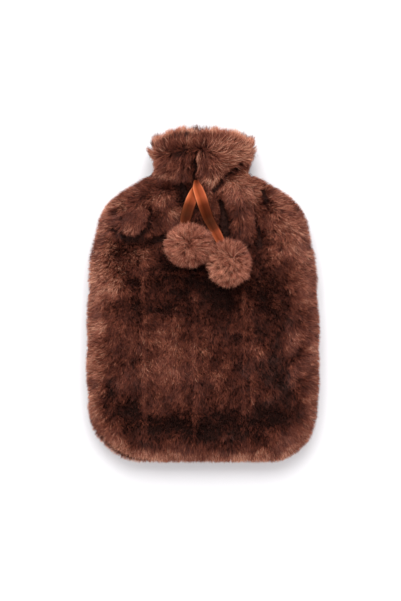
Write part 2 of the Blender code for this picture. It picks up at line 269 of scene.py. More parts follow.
# %% Fit a cloth to each panel
def fitted_cloth(name, node, columns, rows, rim, facing):
    """The cloth of one panel: an object, and its grid of points and normals in millimetres."""
    tree, low, _ = measured(node)
    steps = np.linspace(0, 1, rows + 1)
    places = low[1] + (rim - low[1]) * (steps - 0.05 * np.sin(math.tau * steps))
    shares = 0.85 * (0.5 - 0.5 * np.cos(math.pi * np.linspace(0, 1, columns + 1)))
    shares += 0.15 * np.linspace(0, 1, columns + 1)
    points = np.zeros((rows + 1, columns + 1, 3))
    for row, y in enumerate(places):
        left, right = panel_edges(tree, min(max(y, low[1] + 0.8), rim - RIM_DROP), facing)
        points[row, :, 0] = left + (right - left) * shares
        upper = max(0, (y - COLLAR_STARTS) / (rim - COLLAR_STARTS))
        points[row, :, 1] = y - RIM_DROP * upper ** 2 * np.abs(2 * shares - 1) ** 3
        for column in range(1, columns):
            x, lowered = points[row, column, :2]
            points[row, column, 2] = panel_height(tree, x, lowered, facing)
    points[:, [0, -1], 2] = SEAM_LEVEL
    points[0, :, 2] = SEAM_LEVEL
    points[:, :, 2] = blurred(points[:, :, 2], 3)
    normals = normals_of(points, facing)
    share = np.minimum(1, np.abs(points[:, :, 2:] - SEAM_LEVEL) / 12)
    cloth_points = points - normals * (SEAM_DEPTH + (PILE_DEPTH - SEAM_DEPTH) * share)
    # Its own edge: the panel's, from the left rim down round the bottom to the right rim, moved in
    edge = np.concatenate([points[:0:-1, 0, :2], points[0, :, :2], points[1:, -1, :2]])
    along = np.gradient(edge, axis=0)
    edge += SEAM_DEPTH * unit(np.stack([-along[:, 1], along[:, 0]], axis=1))
    cloth_points[:0:-1, 0, :2] = edge[:rows]
    cloth_points[0, :, :2] = edge[rows:rows + columns + 1]
    cloth_points[1:, -1, :2] = edge[rows + columns + 1:]
    cloth_points[:, [0, -1], 2] = SEAM_LEVEL + 0.1 * facing
    cloth_points[0, :, 2] = SEAM_LEVEL + 0.1 * facing
    turn_faces = bpy.ops.mesh.flip_normals if facing < 0 else None
    cloth, area = laid_sheet(name, cloth_points, CLOTH_THICK, -1, turn_faces)
    return cloth, cloth_points, normals_of(cloth_points, facing), area


FRONT_RIM = 157.0
BACK_RIM = 159.0
front_cloth, front_points, front_normals, front_area = fitted_cloth(
    "front_cloth", "front_panel", 70, 96, FRONT_RIM, 1
)
back_cloth, back_points, back_normals, back_area = fitted_cloth(
    "back_cloth", "back_panel", 50, 70, BACK_RIM, -1
)

# %% [markdown]
# ## The finish of the cloth and the pile
#
# The backing is a brown knit with stitches about a millimetre apart. The pile is modacrylic
# fibre: soft, with a low satin gloss. Its colour is painted darker towards the roots, as painted
# shade where no light comes, and is lightest at its combed tips. Each strand carries a small UV map of its
# own: across it runs the strand's tone and along it the way from root to tip, so one material serves every
# strand.

# %% Knitted backing
STITCH = 1.2  # millimetres from one stitch to the next
knit, tree, shader = new_material("brown_knitted_backing", {"Roughness": 0.9, "Specular IOR Level": 0.2})
place = add_node(tree, "ShaderNodeTexCoord").outputs["Object"]
cloudy = add_node(tree, "ShaderNodeTexNoise", None, {"Scale": 60.0}, {"Vector": place})
shade = add_ramp(tree, cloudy.outputs["Fac"], [(0.3, "#38201a"), (0.7, "#54322a")])
tree.links.new(shade, shader.inputs["Base Color"])
courses = {"Scale": math.tau / (20 * STITCH * MM)}
add_ribs(tree, shader, place, "Y", courses, {"Strength": 0.4, "Distance": 0.0003})
for cloth in (front_cloth, back_cloth):
    cloth.data.materials.append(knit)
print("Both cloths are knitted")


# %% Pile
def pile_material(name, tones):
    """Fibre whose colour comes from its UV map: tone across, root to tip along."""
    made, tree, shader = new_material(name, {"Roughness": 0.55, "Specular IOR Level": 0.35})
    # along each strand, painted shade darkens the colour towards the root
    tint_by_map(tree, shader, tones, [(0.0, "#564848"), (0.45, "#b8acac"), (1.0, "#ffffff")])
    return made


cover_pile = pile_material(
    "modacrylic_pile_dark_brown",
    [(0.0, "#402a24"), (0.3, "#70382a"), (0.6, "#aa6048"), (0.8, "#d88e70"), (1.0, "#ffc2a0")],
)
pompom_pile = pile_material(
    "modacrylic_pile_light_brown", [(0.0, "#6a3022"), (0.5, "#c4745a"), (1.0, "#ffbc9a")]
)
print("Two finishes of pile")

# %% [markdown]
# ## How the pile lies
#
# Long pile is brushed about in use. Where it stands up one looks into it and it is dark. Where
# it lies over, its sides catch the light. So a table lists the patches of the front: an ellipse
# each, the way the pile heads there, how far it leans over, and its tone. The tone is partly
# the fur's own patchy colour and mostly painted light and shade: painted shade where the pile
# stands up and in hollows, folds and under lobes, and a painted sheen where it lies over.

# %% Patches of the front
Patch = namedtuple("Patch", "what x y wide long heading lean tone turn fan", defaults=(0, 0))
# x y wide long in millimetres, heading and turn in degrees, lean, tone and fan in hundredths. Where
# fan is 100 the pile heads away from the patch's middle all round, like a whorl.
# Dark tones are painted shade, where the pile stands up or lies in a hollow, crease or fold; light tones
# are a painted sheen where it lies over.
FRONT_PATCHES = [Patch(*row) for row in (
    # The body
    ("dark middle", 4, 18, 80, 34, -95, 22, 4),
    ("dark left of the middle", -66, 12, 24, 34, -60, 22, 17),
    ("dark right of the middle", 68, 0, 21, 34, -80, 22, 24),
    ("mottled lower left", -58, -66, 34, 40, -70, 50, 24),
    ("bright streak", -30, -66, 20, 36, -80, 58, 45),
    ("dark over that streak", -34, -15, 27, 9, -80, 22, 5),
    ("light patch under it", -40, -34, 9, 6, -80, 55, 24),
    ("bright low patch", -26, -106, 18, 12, -100, 52, 27),
    ("reddish middle", 12, -56, 16, 34, -85, 42, 15),
    ("streaks right of the middle", 18, -96, 8, 20, -90, 55, 44),
    ("streaks of the middle", 0, -63, 4, 19, -85, 50, 50),
    ("dark bottom band", -3, -137, 98, 13, -90, 22, 8),
    ("dark low left", -82, -122, 18, 20, -45, 22, 12, -15),
    ("light low left corner", -90, -151, 22, 11, -120, 60, 58, -42),
    ("dark low middle", 22, -134, 34, 14, -90, 20, -6),
    ("dark low right", 72, -118, 20, 21, -100, 22, 3, 25),
    ("lighter under it", 63, -138, 20, 5, -90, 40, 18),
    ("light low right corner", 88, -148, 24, 12, -60, 60, 42, 40),
    ("right middle", 62, -78, 24, 28, -80, 36, 0),
    ("light spot right", 58, -60, 6, 5, -80, 60, 58, 0, 20),
    ("second light spot right", 66, -104, 6, 6, -80, 60, 32, 0, 20),
    ("streak by the right crease", 52, -90, 5, 10, -80, 50, 38),
    ("light spot left", -83, -90, 6, 4, -60, 60, 40, 0, 20),
    ("dark under that spot", -90, -101, 9, 5, -60, 30, 0),
    ("dark end of the bottom band", -58, -124, 11, 7, -90, 15, -12),
    ("dark left rim", -91, -9, 8, 5, -90, 25, 14),
    ("dark over the right middle", 64, -42, 12, 8, -80, 25, 10),
    ("dark upper left rim", -93, 44, 6, 16, -90, 30, 80),
    ("left rim bulge", -96, 10, 17, 13, -140, 70, 68, -20, 20),
    ("wide left rim", -105, -42, 9, 12, -150, 65, 66),
    ("lower wide left rim", -103, -80, 9, 14, -160, 65, 62),
    ("dark inside it", -94, -95, 7, 7, -60, 30, 0),
    ("wide right rim", 95, 12, 10, 26, -40, 60, 38),
    ("diagonal light band", 94, -44, 18, 6, -50, 70, 32, 48),
    ("lower diagonal light band", 98, -72, 18, 5, -50, 70, 27, 52),
    # Left of the throat
    ("left shoulder", -88, 96, 22, 10, -150, 60, 27, 40),
    ("dark left shoulder", -52, 99, 10, 7, -120, 30, 22, 30),
    ("light end of the shoulder", -65, 100, 5, 5, -140, 60, 50),
    ("dark under the shoulder", -80, 89, 9, 4, -120, 40, 5, 30),
    ("dark hollow by the throat", -37, 108, 12, 7, -90, 20, 2, -8),
    ("dark hollow by the ribbon", -17, 103, 8, 13, -90, 10, 0, -20),
    ("left light tuft", -43, 91, 7, 6, -110, 70, 62, 0, 20),
    ("second left light tuft", -31, 79, 8, 8, -60, 70, 64, 20, 30),
    ("dark between them", -48, 84, 8, 3, -60, 15, 42, 20),
    ("left lobe", -74, 77, 19, 11, -110, 65, 20, 12, 30),
    ("right end of the lobe", -62, 81, 4, 8, -60, 75, 22, -10),
    ("lower edge of the lobe", -74, 66, 14, 5, -95, 80, 46, 6),
    ("dark line over the lobe", -84, 84, 12, 2, -95, 20, -30, 35),
    ("dark beside the lobe", -52, 70, 5, 11, -60, 15, 40, -12),
    ("plaid by the left pompom", -46, 68, 6, 5, -60, 50, 20),
    ("dark under the lobe", -74, 53, 15, 4, -90, 12, 6, 3),
    ("dark left of the pompom", -44, 55, 9, 5, -90, 12, -15),
    ("dark below the lobe", -84, 36, 8, 12, -60, 20, 28),
    ("reddish spot by the crease", -66, 36, 12, 9, -70, 45, 62),
    # Right of the throat
    ("right whorl", 36, 100, 18, 15, -90, 70, 74, 0, 40),
    ("dark over the right whorl", 40, 119, 9, 3, -90, 50, 0, -10),
    ("lower right puff", 41, 71, 11, 16, -75, 60, 35, 0, 30),
    ("dark gap by the ribbon", 21, 79, 8, 22, -90, 5, 0, 8),
    ("wisp in the gap", 13, 88, 3, 8, -90, 50, 32),
    ("narrow right groove", 54, 80, 2.5, 10, -90, 12, 30, 5),
    ("groove of the shoulder", 58, 58, 4, 8, -90, 15, 12, 10),
    ("foot of that groove", 54, 39, 3, 9, -90, 20, 16),
    ("right of the groove", 69, 40, 9, 16, -80, 50, 46),
    ("dark trough by the throat", 62, 103, 7, 13, -70, 15, 0, 8),
    ("right shoulder", 90, 56, 17, 30, -70, 65, 60, 20),
    ("top of the right shoulder", 80, 90, 8, 16, -40, 55, 38, 40),
    # The collar, left of the pleat
    ("collar left", -34, 143, 17, 17, -125, 55, 50, 0, 20),
    ("dark top of the collar", -26, 155, 17, 5, -100, 35, 36, -4),
    ("left side of the collar", -50, 140, 6, 16, -165, 70, 70, -8),
    ("dark left of the pleat", -14, 130, 8, 14, -95, 40, 10),
    ("over the pleat", -8, 149, 14, 4, -110, 50, 74),
    ("dark crease of the collar", -27, 139, 5, 9, -80, 20, 0, 4),
    ("ridge of the collar", -26, 128, 4, 7, -100, 60, 34, -6),
    ("foot of the collar", -39, 122, 12, 4, -60, 75, 76, -16),
    # The flap that the pleat folds over
    ("flap, fanned from the pleat", 14, 137, 36, 20, 0, 66, 55, 14, 75),
    ("shade inside the flap", 5, 130, 6, 16, -60, 60, 4),
    ("light middle of the flap", 28, 141, 14, 9, 25, 70, 72, 30),
    ("edge of the pleat", -2, 137, 3, 9, -110, 70, 62, -6),
    ("pleat", -9, 133, 4, 20, -90, 10, 18, -4),
    ("roll under the flap", 45, 126, 8, 8, -60, 60, 80, 30),
    ("crease under the flap", 31, 125, 13, 3, -60, 8, 16, 42),
    ("upper end of that crease", 40, 131, 5, 3, -60, 20, 25, 40),
    ("tip of the flap", 8, 113, 7, 6, -80, 75, 68, 10),
    ("right roll of the collar", 46, 148, 7, 14, 20, 60, 84),
)]
# Parted pile where the cover was folded for its packet: straight lines from x y to x y
CREASES = [
    ("left", -61, 45, -60, -160),
    ("middle", -9, 15, -8, -165),
    ("right", 41, 20, 42, -155),
    ("right twin", 48, -5, 49, -140),
    ("across", -70, 20, 30, 20),
]
CREASE_WIDE = 2.2
# Folds so deep that one looks down into them, from x y to x y, and their width at both ends. Pile rooted in
# them is painted dark, as painted shade.
DEEP_FOLDS = [
    ("under the flap", 40, 133, 21, 116.5, 2.2, 2.2),
    ("under the flap's tip", 21, 116.5, 11, 105, 2.2, 3.4),
    ("pleat", -6, 146, -9, 114, 1.0, 3.4),
    ("gap by the ribbon", 18, 93, 24, 62, 4, 8),
    ("beside the right puff", 53, 89, 54, 68, 1, 2),
    ("right of the puff's foot", 56, 66, 58, 50, 2.5, 4.5),
    ("trough by the throat", 60, 106, 64, 91, 3, 4),
    ("hollow by the ribbon", -22, 110, -15, 96, 5, 6),
    ("between the left tufts", -52, 85, -43, 83, 1, 1),
    ("left end under the lobe", -92, 65, -79, 56, 1.5, 3),
    ("under the left lobe", -79, 55.5, -67, 56, 5, 4),
    ("right end under the lobe", -67, 57, -57, 66, 4, 2),
    ("end of the left lobe", -56, 68, -54, 86, 2.5, 1.5),
    ("left of the pompom", -50, 55, -38, 56, 4, 5),
]
print(len(FRONT_PATCHES), "patches on the front")


# %% Read the patches at each strand
def rise(value, over):
    """0 up to zero, 1 from over on, even between."""
    return np.clip(value / over, 0, 1)


def arrow(heading):
    """The unit vector along a heading, in plan."""
    return np.stack([np.cos(heading), np.sin(heading)])


def mottle(x, y, size, seed):
    """Smooth random patches from -1 to 1, about size millimetres across."""
    cells = np.random.default_rng(seed).uniform(-1, 1, (97, 97))
    u, v = x / size + 500, y / size + 500
    i, j = np.floor(u).astype(int), np.floor(v).astype(int)
    a, b = u - i, v - j
    a, b = a * a * (3 - 2 * a), b * b * (3 - 2 * b)
    low = cells[i % 97, j % 97] * (1 - a) + cells[(i + 1) % 97, j % 97] * a
    high = cells[i % 97, (j + 1) % 97] * (1 - a) + cells[(i + 1) % 97, (j + 1) % 97] * a
    return low * (1 - b) + high * b


WANDERS_FROM = 9.0  # the edges of a smaller patch wander less


def blend_patches(patches, x, y, heading, lean, tone):
    """Heading, lean and tone at each place, where the patches overlay the ground's values."""
    away = arrow(heading)
    lean, tone = lean.copy(), tone.copy()
    # The places wander a little, so that no patch has a neat edge
    wander_x = 4.5 * mottle(x, y, 15, 13) + 2.5 * mottle(x, y, 6, 14)
    wander_y = 4.5 * mottle(x, y, 15, 15) + 2.5 * mottle(x, y, 6, 16)
    for patch in patches:
        loose = min(1, min(patch.wide, patch.long) / WANDERS_FROM)
        off_x, off_y = x + loose * wander_x - patch.x, y + loose * wander_y - patch.y
        turn = math.radians(patch.turn)
        across = off_x * math.cos(turn) + off_y * math.sin(turn)
        along = off_y * math.cos(turn) - off_x * math.sin(turn)
        far = np.hypot(across / patch.wide, along / patch.long)
        weight = 1 / (1 + far ** 4)
        outwards = np.stack([off_x, off_y])
        outwards /= np.maximum(max(patch.wide, patch.long), np.hypot(off_x, off_y))
        straight = arrow(math.radians(patch.heading))[:, None]
        fan = patch.fan / 100
        away += weight * (straight * (1 - fan) + outwards * fan - away)
        lean += weight * (patch.lean / 100 - lean)
        tone += weight * (patch.tone / 100 - tone)
    return np.arctan2(away[1], away[0]), lean, tone


print("At the origin a mottle of 10 mm is", mottle(0, 0, 10, 1).round(2))


# %% Read the creases and deep folds
def by_line(line, x, y, ends):
    """Each place's share of the way along a line, kept within ends, and how far off it lies."""
    x1, y1, x2, y2 = line[1:5]
    x, y, run_x, run_y = x - x1, y - y1, x2 - x1, y2 - y1
    share = np.clip((x * run_x + y * run_y) / (run_x ** 2 + run_y ** 2), *ends)
    return share, np.hypot(x - share * run_x, y - share * run_y)


def crease_weight(x, y):
    """1 on a crease and 0 away from it."""
    weight = np.zeros(len(x))
    wander = 0.8 * mottle(x, y, 6, 17)
    for crease in CREASES:
        share, off = by_line(crease, x, y, (-9, 9))
        ends = rise(np.minimum(share, 1 - share), 1 / 8)
        weight = np.maximum(weight, ends * np.exp(-((off + wander) / CREASE_WIDE) ** 2))
    return weight


def fold_weight(x, y):
    """1 in a deep fold and 0 beside it."""
    weight = np.zeros(len(x))
    x, y = x + 1.6 * mottle(x, y, 5, 18), y + 1.6 * mottle(x, y, 5, 19)
    for fold in DEEP_FOLDS:
        share, off = by_line(fold, x, y, (0, 1))
        half = 0.5 * (fold[5] + (fold[6] - fold[5]) * share)
        weight = np.maximum(weight, rise(half + 0.6 - off, 1.2))
    return weight


def end_at_folds(spines, tones):
    """Ends strands where they would cross a deep fold. Those rooted in one are short, and painted dark as
    the fold's shade.
    """
    kept = np.ones(len(spines))
    for share in (1.0, 0.85, 0.7, 0.55, 0.4):
        part = 2 * share - 1
        inner, outer = spines[:, 1], spines[:, 2 if part > 0 else 0]
        points = inner + (outer - inner) * abs(part)
        kept[fold_weight(points[:, 0], points[:, 1]) > 0.5] = share - 0.1
    rooted = fold_weight(spines[:, 0, 0], spines[:, 0, 1])
    kept = np.minimum(kept, 1 - 0.7 * rooted)
    spines[:, 1:] = spines[:, :1] + (spines[:, 1:] - spines[:, :1]) * kept[:, None, None]
    # painted shade: strands rooted in a fold are darkened
    tones *= 1 - 0.9 * rooted


print(len(CREASES), "creases and", len(DEEP_FOLDS), "deep folds")


# %% Find the panels' outlines in plan
def outline_of(node, rim, facing):
    """A search tree of points a millimetre apart round a panel's sides and its bottom edge."""
    tree, low, high = measured(node)
    found = []
    for y in np.arange(low[1] + 1, rim + 20):
        found += [(x, y) for x in panel_edges(tree, min(y, rim - RIM_DROP), facing)]
    for x in np.arange(low[0] + 8, high[0] - 7):
        found.append((x, cast(tree, (x, -300, SEAM_LEVEL + 0.6 * facing), (0, 1, 0))[1]))
    outline = KDTree(len(found))
    for number, (x, y) in enumerate(found):
        outline.insert((x, y, 0), number)
    outline.balance()
    return outline


def to_outline(outline, roots):
    """How far each root is from the outline in plan, and the way there."""
    nearest = np.array([outline.find((x, y, 0))[0][:2] for x, y in roots[:, :2]])
    way = nearest - roots[:, :2]
    far = np.hypot(way[:, 0], way[:, 1])
    return far, way / np.maximum(far, 0.01)[:, None]


front_outline = outline_of("front_panel", FRONT_RIM, 1)
back_outline = outline_of("back_panel", BACK_RIM, -1)
print("The middle is", round(to_outline(front_outline, np.zeros((1, 3)))[0][0]), "mm from the outline")

# %% [markdown]
# ## Growing the pile
#
# Hair particles would not survive an export, so each strand is a real, very narrow blade, of a
# quad and a tip. A blade is described once. Its copies are laid by arithmetic over the whole
# cloth: roots at random places, neighbours drawn together into tufts, tips leaning as the table
# says. All the blades of a region become one mesh.

# %% Strand roots on a cloth
def scatter_roots(points, normals, count, seed):
    """Roots spread evenly over a grid of points: places, normals and places on the cloth."""
    dice = np.random.default_rng(seed)
    a, b = points[:-1, :-1], points[:-1, 1:]
    c, d = points[1:, 1:], points[1:, :-1]
    area = 0.5 * np.linalg.norm(np.cross(c - a, d - b), axis=2)
    chosen = dice.choice(area.size, count, p=(area / area.sum()).ravel())
    row, column = np.unravel_index(chosen, area.shape)
    u, v = dice.uniform(0, 1, (2, count, 1))

    def between(grid):
        lower = grid[row, column] * (1 - u) + grid[row, column + 1] * u
        upper = grid[row + 1, column] * (1 - u) + grid[row + 1, column + 1] * u
        return lower * (1 - v) + upper * v

    across, along = np.zeros((2, *points.shape[:2]))
    across[:, 1:] = np.cumsum(np.linalg.norm(np.diff(points, axis=1), axis=2), axis=1)
    across -= across[:, -1:] / 2
    along[1:] = np.cumsum(np.linalg.norm(np.diff(points, axis=0), axis=2), axis=0)
    places = between(np.stack([across, along], axis=2))
    return between(points), between(normals), places, across, along


def tufts_of(places, size, seed):
    """The number of each root's tuft, and the way to the tuft's middle on the cloth."""
    jitter = np.random.default_rng(seed).uniform(0, 1, (400, 400, 2))
    cell = np.floor(places / size).astype(int)
    best = np.full(len(places), 1e9)
    number = np.zeros(len(places), int)
    towards = np.zeros((len(places), 3))
    for step in np.ndindex(3, 3):
        near = cell + np.array(step) - 1
        middle = (near + jitter[near[:, 0] % 400, near[:, 1] % 400]) * size
        way = middle - places
        far = np.hypot(way[:, 0], way[:, 1])
        closer = far < best
        best[closer] = far[closer]
        number[closer] = (near[closer, 0] % 400) * 400 + near[closer, 1] % 400
        towards[closer, :2] = way[closer]
    return number, towards


print("Strands gather in tufts")


# %% Blades from roots to tips
STRAY = 0.11  # how far single strands turn from their neighbours


def blade_mesh(name, spines, sides, widths, tones, finish, slot):
    """One mesh of blades. spines holds each one's root, middle and tip, in millimetres."""
    count = len(spines)
    half = 0.5 * widths[:, None] * sides
    root, middle, tip = spines[:, 0], spines[:, 1], spines[:, 2]
    slim = 0.875 * half
    corners = np.stack([root - half, root + half, middle - slim, middle + slim, tip], axis=1)
    loops = np.array([0, 1, 3, 2, 2, 3, 4])  # a quad and a tip
    mesh = bpy.data.meshes.new(name)
    mesh.vertices.add(5 * count)
    mesh.vertices.foreach_set("co", (corners * MM).astype(np.float32).ravel())
    mesh.loops.add(7 * count)
    blade = np.arange(count)[:, None]
    mesh.loops.foreach_set("vertex_index", (5 * blade + loops).astype(np.int32).ravel())
    mesh.polygons.add(2 * count)
    mesh.polygons.foreach_set("loop_start", (7 * blade + [0, 4]).astype(np.int32).ravel())
    mesh.update(calc_edges=True)
    marks = mesh.uv_layers.new(name="OFBake")
    u = tones[:, None] + np.array([-0.012, 0.012, -0.012, 0.012, 0])[loops]
    v = np.broadcast_to(np.array([0.01, 0.01, 0.5, 0.5, 0.99])[loops], u.shape)
    marks.data.foreach_set("uv", np.stack([u, v], axis=2).astype(np.float32).ravel())
    mesh.shade_smooth()
    mesh.materials.append(finish)
    piece = bpy.data.objects.new(name, mesh)
    scene.collection.objects.link(piece)
    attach(piece, "root")
    print(name, "has", count, "strands and", 3 * count, "triangles")
    return piece


def bend_strands(roots, normals, ways, lean, length, dice):
    """Root, middle and tip of each strand. It leaves the cloth upright and bends over."""
    stray = STRAY * dice.normal(0, 1, roots.shape)
    lean, length = lean[:, None], length[:, None]
    start = unit(normals * (1 - 0.55 * lean) + ways * 0.55 * lean + 0.6 * stray)
    end = unit(normals * (1 - lean) + ways * lean + stray)
    middle = roots + start * 0.42 * length
    return np.stack([roots, middle, middle + end * 0.58 * length], axis=1)


def blade_sides(spines, normals, roll, dice):
    """The way across each blade, level with the surface but rolled a little."""
    ways = unit(spines[:, 2] - spines[:, 1])
    return unit(np.cross(ways, normals + dice.normal(0, roll, ways.shape)))


print("Single strands stray by", STRAY)

# %% The ribbon's route, which the pile keeps clear of
# x, y, z and width in millimetres: from the left pompom up, folded over in the pleat, and down to
# the right one
RIBBON_ROUTE = [
    (-18.6, 65.1, 57.3, 8), (-18.2, 72, 52.7, 10.7), (-16.8, 78.8, 48.4, 12), (-14.8, 85.7, 47, 12),
    (-12.4, 92.6, 46.8, 12), (-9.6, 100.2, 46.4, 10.5), (-7.4, 107, 46.1, 7), (-6.6, 112.6, 44.4, 5),
    (-6.5, 114.2, 45.1, 4.5), (-6.6, 113.4, 46.8, 5.5), (-6.4, 110.4, 49.3, 7.5), (-5.4, 105.7, 49.7, 10.5),
    (-2.4, 97.5, 49, 12), (0.6, 88.4, 49.4, 12), (4.6, 77, 47.1, 11.5), (7.6, 70.9, 48.5, 11),
    (11.1, 64.1, 51.4, 10.5), (14.8, 56.9, 54.7, 10.5), (20.3, 46.4, 59.5, 8),
]


def smooth_route(stops, parts):
    """Points on a smooth curve through the stops, each of them x, y, z and width."""
    line = np.array(stops)
    line = np.concatenate([[2 * line[0] - line[1]], line, [2 * line[-1] - line[-2]]])
    found = []
    for before, start, end, after in zip(line, line[1:], line[2:], line[3:]):
        for t in np.arange(parts) / parts:
            bow = (2 * before - 5 * start + 4 * end - after) * t ** 2
            bow += (3 * start - before - 3 * end + after) * t ** 3
            found.append(0.5 * (2 * start + (end - before) * t + bow))
    return np.array(found + [line[-2]])


ribbon_line = smooth_route(RIBBON_ROUTE, 6)
print("The ribbon's route has", len(ribbon_line), "points")


def press_under_ribbon(spines):
    """Bends down what would stand through the ribbon."""
    for step in range(1, spines.shape[1]):
        points = spines[:, step]
        near = (np.abs(points[:, 0]) < 40) & (points[:, 1] > 35) & (points[:, 1] < 125)
        some = points[near]
        far = np.hypot(some[:, :1] - ribbon_line[:, 0], some[:, 1:2] - ribbon_line[:, 1])
        under = np.where(far < ribbon_line[:, 3] / 2 + 0.8, ribbon_line[:, 2] - 0.9, 1e3).min(axis=1)
        some[:, 2] = np.minimum(some[:, 2], under)
        points[near] = some


# %% Roots on the front, and its pile near the seam
STRAND_WIDE = 0.66  # stands for a few fibres, which are too fine to be drawn
STRAND_LONG = 11.0
TUFT = 2.2
RIM_BAND = 22.0  # the pile beside the seam is combed outwards over this width
# The pile in this band is painted lighter, a painted sheen where the sides of the outward-combed strands
# catch the light.
RIM_LIGHT_BAND = 20.0  # and is lighter over this one
SHOWN_AT = 7.0  # how far along a lying strand the part that shows is
THROAT_AT = 118.0  # y of the throat, where the seam's band ends
COLLAR_HALF = 48.0  # from its middle to its side
FRONT_STRANDS = 190000

roots, normals, places, front_across, front_along = scatter_roots(
    front_points, front_normals, FRONT_STRANDS, 11
)
print("The front cloth lies flat at", round(2 * front_across.max()), "by", round(front_along.max()), "mm")


def combed_out(y, to_seam, outwards, down):
    """How near the seam each root is, and its heading: outwards there, and down away from it."""
    near_seam = rise(RIM_BAND - to_seam, 8) * rise(THROAT_AT - y, 14)
    out = outwards * near_seam[:, None]
    return near_seam, np.arctan2(out[:, 1] - down, out[:, 0] + 0.0001)


# %% How the front's pile lies
def front_nap(roots, to_seam, outwards):
    """Heading, lean and tone of the front's pile before its tufts, and how near the seam it is."""
    x, y = roots[:, 0], roots[:, 1]
    near_seam, heading = combed_out(y, to_seam - 4 * mottle(x, y, 9, 6), outwards, 0.25)
    heading, lean, _ = blend_patches(FRONT_PATCHES, x, y, heading, 0.40 + 0.16 * near_seam, 0 * x)
    rim = FRONT_RIM - RIM_DROP * np.abs(x / COLLAR_HALF) ** 3
    at_rim = rise(y - rim + 20, 18)
    at_rim = at_rim * at_rim * (3 - 2 * at_rim)
    upwards = arrow(math.pi / 2 - 0.35 * x / COLLAR_HALF)
    away = arrow(heading) * (1 - at_rim) + upwards * at_rim
    heading = np.arctan2(away[1], away[0]) + 0.45 * mottle(x, y, 17, 1) + 0.4 * mottle(x, y, 6, 2)
    lean = (lean + at_rim * (0.75 - lean)) * np.clip(1.8 * np.hypot(away[0], away[1]), 0.7, 1)
    lean = np.clip(lean + 0.14 * mottle(x, y, 11, 3), 0.02, 0.9)

    # A strand shows its outer half, so its tone is read where that half lies
    x, y = (x, y) + SHOWN_AT * lean * arrow(heading)
    tone = blend_patches(FRONT_PATCHES, x, y, heading, lean, 0.22 + 0 * x)[2]
    # Painted light: near the seam the tone is painted lighter where outward-combed strands show their sides
    # to the light, more on the left and along the bottom rim.
    painted_rim_light = rise(RIM_LIGHT_BAND + 7 * mottle(x, y, 10, 8) - to_seam, 9) * rise(THROAT_AT - y, 14)
    low_rim = rise(-140 - y, 15)
    tone += painted_rim_light * (0.53 - 0.07 * x / 120 + 0.03 * y / 174 + 0.2 * low_rim - tone)
    tone += 0.14 * mottle(x, y, 12, 4) + 0.12 * mottle(x, y, 5, 5) + 0.07 * mottle(x, y, 2.6, 7)
    # Along the creases the parted pile lies over more and is painted lighter, a painted sheen.
    parted = crease_weight(x, y)
    return heading, np.clip(lean + 0.15 * parted, 0, 0.9), np.clip(tone + 0.17 * parted, 0, 1), near_seam


print("Pile heads outwards within", RIM_BAND, "mm of the seam")


# %% Lay strands on a cloth
def lay_strands(roots, normals, places, nap, to_seam, outwards, hidden, wide, seed):
    """Spines, sides and tones of the strands of one cloth, drawn together in tufts."""
    heading, lean, tone, near_seam = nap
    dice = np.random.default_rng(seed)
    number, towards = tufts_of(places, TUFT, seed + 1)
    whim = np.random.default_rng(seed + 2).normal(0, 1, (160000, 3))[number]
    heading = heading + (0.3 * whim[:, 0] + dice.normal(0, 0.2, len(tone))) * (1 - 0.5 * near_seam)
    lean = np.clip(lean + 0.07 * whim[:, 1], 0.02, 0.92)
    tone = tone + 0.05 * whim[:, 2] + dice.normal(0, 1, len(tone)) * (0.1 + 0.2 * tone)
    tone = np.clip(tone, 0.02, 0.98)
    ways = np.stack([*arrow(heading), -0.35 * near_seam], axis=1)
    length = STRAND_LONG * dice.uniform(0.8, 1.08, len(tone))
    length *= 0.72 + 0.28 * rise(lean, 0.5) + 0.2 * rise(roots[:, 1] - 50, 20)
    length *= 1 - 0.25 * near_seam
    length *= 0.55 + 0.45 * rise(tone, 0.22)  # in the hollows only short strands show
    spines = bend_strands(roots, normals, ways, lean, length, dice)
    pull = (0.2 + 0.3 * lean)[:, None] * towards
    spines[:, 2] += pull
    spines[:, 1] += 0.4 * pull

    # At the seam the tips reach the outline, and nowhere do they pass it by more than a little
    reached = np.einsum("ij,ij->i", spines[:, 2, :2] - roots[:, :2], outwards)
    wanted = to_seam - hidden + dice.uniform(-1.4, 1.7, len(tone))
    at_seam = np.clip(1 - (to_seam - SEAM_DEPTH - 1.5) / 4, 0, 1)
    combed = at_seam * (wanted - reached) + (1 - at_seam) * np.minimum(0, wanted - reached)
    moved = combed[:, None] * outwards
    spines[:, 2, :2] += moved
    spines[:, 1, :2] += 0.4 * moved
    spines[:, :, 2] = np.maximum(spines[:, :, 2], 0.4 + dice.uniform(0, 1.6, (len(tone), 1)))
    sides = blade_sides(spines, normals, 0.45, dice)
    return spines, sides, wide * dice.uniform(0.7, 1.25, len(tone)), tone


def grow_regions(name, roots, strands, bounds):
    """One piece for each stretch of the cloth between two places along it."""
    spines, sides, widths, tone = strands
    made = []
    for part, low, high in bounds:
        here = (roots[:, 1] >= low) & (roots[:, 1] < high)
        blades = spines[here], sides[here], widths[here], tone[here]
        made.append(blade_mesh(name + part, *blades, cover_pile, "fur_fabric"))
    return made


print("Strands are about", STRAND_LONG, "mm long")

# %% Grow the front's pile
to_seam, outwards = to_outline(front_outline, roots)
nap = front_nap(roots, to_seam, outwards)
# At the left bottom corner the edge is double: dark strands stop short of the outer ones, and the
# light ones further in stop short of those. The dark ones are painted shade, the shadowed gap of the seam.
at_corner = np.exp(-(np.hypot(roots[:, 0] + 86, roots[:, 1] + 154) / 35) ** 4)
layer = (to_seam > 7.2).astype(int) + (to_seam > 8.4)
hidden = at_corner * np.array([0.0, 2.8, 4.8])[layer]
nap[2][:] *= 1 - at_corner * np.array([0.1, 0.95, 0.0])[layer]
